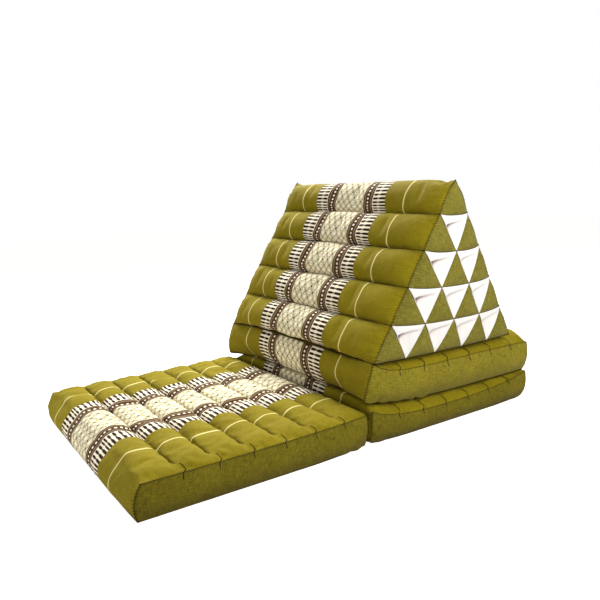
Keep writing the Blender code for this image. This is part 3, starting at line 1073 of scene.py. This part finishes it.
def bolster_threads():
    """The bolster's edges, with a knot at each row, and then a dark line along each channel, painted
    shade in its crease.
    """
    threads = []
    fine = range(BOLSTER_ROWS * CELL_STEPS + 1)
    for side in (-1, 1):
        end = bolster_end(side)
        front = [slope_point(side * HALF, k / CELL_STEPS, -1) for k in fine]
        back = [slope_point(side * HALF, k / CELL_STEPS, 1) for k in fine]
        base = [end(fine[-1], k) for k in fine]
        # The base seam is drawn thick, partly as painted shadow under the bolster's base edge.
        for path, outward, radius in (
            (front, (side, -1, 0.2), SEAM_RADIUS),
            (back, (side, 1, 0.2), SEAM_RADIUS),
            (base, (side, 0, -0.6), BASE_SEAM_AND_SHADOW_RADIUS),
        ):
            threads += stitched(path, outward, radius)
            threads += [knot(point) for point in path[::CELL_STEPS]]
    # Dark lines along the channel creases: painted shade.
    for row in range(1, BOLSTER_ROWS + 1):
        for side in (-1, 1):
            path = [slope_point(across(k), row, side) for k in range(ACROSS_STEPS + 1)]
            threads.append((path, CHANNEL_SHADE_LINE_RADIUS))
    return threads


def panel_threads():
    """Fine thread round each white panel, a hair off the cloth."""
    threads = []
    for side in (-1, 1):
        lift = Vector((side * PANEL_SEAM_LIFT, 0, 0))
        for row in range(1, BOLSTER_ROWS):
            for cell in range(row):
                corners = ((row, cell), (row, cell + 1), (row + 1, cell + 1), (row, cell))
                for (down, back), (next_down, next_back) in zip(corners, corners[1:]):
                    path = []
                    for k in range(PANEL_SEAM_STEPS + 1):
                        share = k / PANEL_SEAM_STEPS
                        path.append(lift + end_seam_point(
                            side, down + (next_down - down) * share, back + (next_back - back) * share))
                    threads.append((path, 0.9 * SEAM_RADIUS))
    return threads


def mat_threads(name, wrap_point, end_point, top_point):
    """A section's pleats, drawn as dark lines of painted shade in their folds, its base seams, its edges,
    its side seams, and dark lines along its channels, painted shade in their creases.
    """
    threads = []
    side_seams = []
    top_steps = MAT_ROWS * ROW_STEPS
    half_way = top_steps + SIDE_STEPS
    columns = range(ACROSS_STEPS + 1)
    onward = range(top_steps + 1)
    falls = range(SIDE_STEPS + 1)
    shift, share = (0.14, 1.0) if name == "mat_front" else (0.05, 0.8)
    edges = [
        ([wrap_point(c, top_steps) for c in columns], (0, 1, 1)),
        ([wrap_point(c, half_way) for c in columns], (0, 1, -1)),
        ([wrap_point(c, half_way + top_steps) for c in columns], (0, -1, -1)),
    ]
    for side in (-1, 1):
        end = end_point(side)
        # A dark line down each pleat's fold: painted shade.
        for row in range(1, MAT_ROWS):
            pleat = [top_point(side * (HALF - PLEAT_LENGTH * (1 - k / 4)), (row + shift) / MAT_ROWS)
                     for k in range(5)]
            pleat += [end((row + shift) * ROW_STEPS + 0.4 * f, f) for f in (0.5, 1.0)]
            threads.append((pleat, PLEAT_SHADE_RADIUS))
        threads.append(([end(i, SIDE_STEPS) for i in onward], BASE_SEAM_AND_SHADOW_RADIUS))
        side_seams.append(([end(i, 0) for i in onward], (side, 0, 1)))
        edges += [
            ([end(0, f) for f in falls], (side, -1, 0)),
            ([end(top_steps, f) for f in falls], (side, 1, 0)),
        ]
    for path, outward in edges:
        threads += stitched(path, outward)
    for path, outward in side_seams:
        threads += stitched(path, outward, share=0.8 * share)
    # Dark lines along the channel creases: painted shade.
    for row in range(1, MAT_ROWS):
        path = [wrap_point(c, row * ROW_STEPS) for c in columns
                if HALF - abs(across(c)) > CHANNEL_STOP]
        threads.append((path, CHANNEL_SHADE_LINE_RADIUS))
    return threads


def sink(point):
    """The far front corner goes down, from the middle of the stack up to two rows."""
    far = max(0.0, -point.x / HALF) ** 3
    near_front = math.exp(-max(0.0, point.y) / SINK_REACH)
    height = min(1.0, point.z / SINK_FROM) * min(1.0, max(0.0, (SINK_TO - point.z) / SINK_REACH))
    return Vector((point.x, point.y, point.z - SINK_DEPTH * far * near_front * height))


def sunk(threads):
    """Threads that sink with the corner."""
    return [([sink(point) for point in points], radius) for points, radius in threads]


laid = sunk(settle(bolster_threads(), bolster) + panel_threads())
for name, (piece, wrap_point, end_point, top_point) in made_mats.items():
    settled = settle(mat_threads(name, wrap_point, end_point, top_point), piece)
    laid += settled if name == "mat_front" else sunk(settled)
sew("seam_threads_and_shade_lines", laid, thread_and_shade_finish())
for piece in [bolster, made_mats["mat_upper"][0], made_mats["mat_lower"][0]] + panels:
    for vertex in piece.data.vertices:
        vertex.co = sink(vertex.co)
